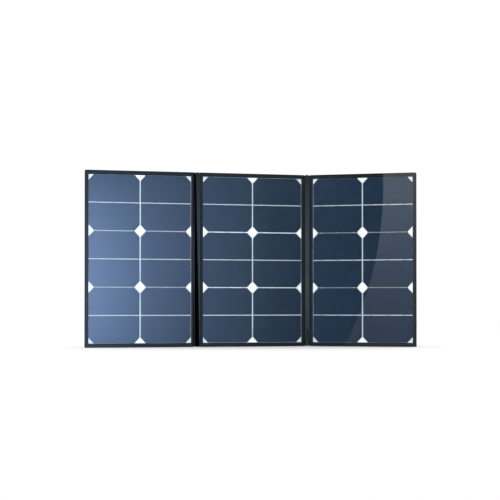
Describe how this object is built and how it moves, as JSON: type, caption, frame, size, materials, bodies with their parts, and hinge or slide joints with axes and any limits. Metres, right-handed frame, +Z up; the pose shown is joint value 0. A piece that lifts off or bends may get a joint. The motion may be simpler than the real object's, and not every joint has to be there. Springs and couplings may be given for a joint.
{
  "type": "folding solar panel",
  "caption": "Folding portable solar panel: stiff cell laminates bound in black fabric, joined by fabric hinges, with charge controller, zip pocket, carry handle and closing strap behind.",
  "frame": {"origin": "on the ground, in the middle of the centre panel's lower edge", "axes": "+Z up along the upright panels, -Y out of the centre panel's front, +X towards the right wing"},
  "size_m": [0.7405, 0.2443, 0.405],
  "materials": {
    "border_fabric": "black woven polyester, satin",
    "front_film": "clear glossy polymer film",
    "solar_cell": "dark blue silicon under gloss film",
    "tinned_ribbon": "tinned copper ribbon",
    "white_backsheet": "white sheet",
    "stiffener_board": "glass fibre laminate",
    "back_fabric": "coated oxford weave",
    "hinge_fabric": "soft blue grey weave",
    "copper_braid": "flat flexible braid",
    "box_plastic": "fine moulded texture",
    "gasket_rubber": "soft matt",
    "screw_steel": "plain steel",
    "circuit_board": "solder mask",
    "socket_metal": "plated shell",
    "component_plastic": "black moulding",
    "lens": "clear light pipe",
    "choke_ferrite": "wound ferrite ring",
    "capacitor_sleeve": "printed sleeve without print",
    "lead_insulation": "silicone insulation",
    "cap_rubber": "soft moulded rubber",
    "pocket_fabric": "coated oxford weave",
    "zip_tape": "ribbed tape",
    "zip_metal": "gunmetal plating",
    "webbing": "ribbed webbing",
    "patch_leather": "grained, stitched",
    "rivet_metal": "domed rivet",
    "loop_pad": "looped pile"
  },
  "bodies": {
    "centre_panel": {"centre_border": "border_fabric", "centre_front_film": "front_film", "centre_cells": "solar_cell", "centre_ribbons": "tinned_ribbon", "centre_backsheet": "white_backsheet", "centre_board": "stiffener_board", "centre_back_cover": "back_fabric", "controller_base": "box_plastic", "controller_gasket": "gasket_rubber", "controller_cover": "box_plastic", "controller_screws": "screw_steel", "circuit_board": "circuit_board", "usb_socket": "socket_metal", "dc_socket": "component_plastic", "indicator_led": "lens", "light_pipe": "lens", "blocking_diode": "component_plastic", "choke": "choke_ferrite", "capacitors": "capacitor_sleeve", "panel_leads": "lead_insulation", "cap_pins": "screw_steel", "carry_handle": "webbing", "handle_patches": "patch_leather", "handle_rivets": "rivet_metal", "closure_pad": "loop_pad"},
    "left_hinge": {"left_hinge_fabric": "hinge_fabric", "left_link_ribbon": "copper_braid"},
    "left_panel": {"left_border": "border_fabric", "left_front_film": "front_film", "left_cells": "solar_cell", "left_ribbons": "tinned_ribbon", "left_backsheet": "white_backsheet", "left_board": "stiffener_board", "left_back_cover": "back_fabric", "cable_pocket": "pocket_fabric", "zip_tape": "zip_tape", "zip_teeth": "zip_metal", "strap_anchor": "webbing", "parking_pad": "loop_pad"},
    "right_hinge": {"right_hinge_fabric": "hinge_fabric", "right_link_ribbon": "copper_braid"},
    "right_panel": {"right_border": "border_fabric", "right_front_film": "front_film", "right_cells": "solar_cell", "right_ribbons": "tinned_ribbon", "right_backsheet": "white_backsheet", "right_board": "stiffener_board", "right_back_cover": "back_fabric"},
    "usb_flap": {"usb_cap": "cap_rubber"},
    "dc_flap": {"dc_cap": "cap_rubber"},
    "slider": {"zip_slider": "zip_metal"},
    "pull": {"zip_pull": "zip_metal"},
    "strap": {"closure_strap": "webbing"}
  },
  "joints": [
    {"name": "left_wing_fold", "type": "hinge", "parent": "centre_panel", "child": "left_panel", "pos_m": [-0.1422, -0.00565, 0.2025], "axis": [0, 0, 1], "range_deg": [-30, 179.5]},
    {"name": "left_web_fold", "type": "hinge", "parent": "centre_panel", "child": "left_hinge", "pos_m": [-0.1422, -0.00565, 0.2025], "axis": [0, 0, 1], "range_deg": [-15, 89.75]},
    {"name": "right_wing_fold", "type": "hinge", "parent": "centre_panel", "child": "right_panel", "pos_m": [0.1419, -0.0029, 0.2025], "axis": [0, 0, -1], "range_deg": [-81, 129]},
    {"name": "right_web_fold", "type": "hinge", "parent": "centre_panel", "child": "right_hinge", "pos_m": [0.1419, -0.0029, 0.2025], "axis": [0, 0, -1], "range_deg": [-40.5, 64.5]},
    {"name": "usb_cap_swing", "type": "hinge", "parent": "centre_panel", "child": "usb_flap", "pos_m": [-0.022, 0.0176, 0.1482], "axis": [1, 0, 0], "range_deg": [0, 160]},
    {"name": "dc_cap_swing", "type": "hinge", "parent": "centre_panel", "child": "dc_flap", "pos_m": [0.02, 0.0176, 0.1482], "axis": [1, 0, 0], "range_deg": [0, 160]},
    {"name": "zip_slide", "type": "slide", "parent": "left_panel", "child": "slider", "axis": [-1, 0, 0], "range_m": [0, 0.16]},
    {"name": "zip_pull_swing", "type": "hinge", "parent": "slider", "child": "pull", "pos_m": [-0.2034, 0.0175, 0.155], "axis": [1, 0, 0], "range_deg": [0, 165]},
    {"name": "strap_peel", "type": "hinge", "parent": "left_panel", "child": "strap", "pos_m": [-0.4034, 0.0041, 0.2025], "axis": [0, 0, 1], "range_deg": [0, 180]}
  ],
  "couplings": [
    {"joint": "left_web_fold", "follows": "left_wing_fold", "ratio": 0.5},
    {"joint": "right_web_fold", "follows": "right_wing_fold", "ratio": 0.5}
  ]
}
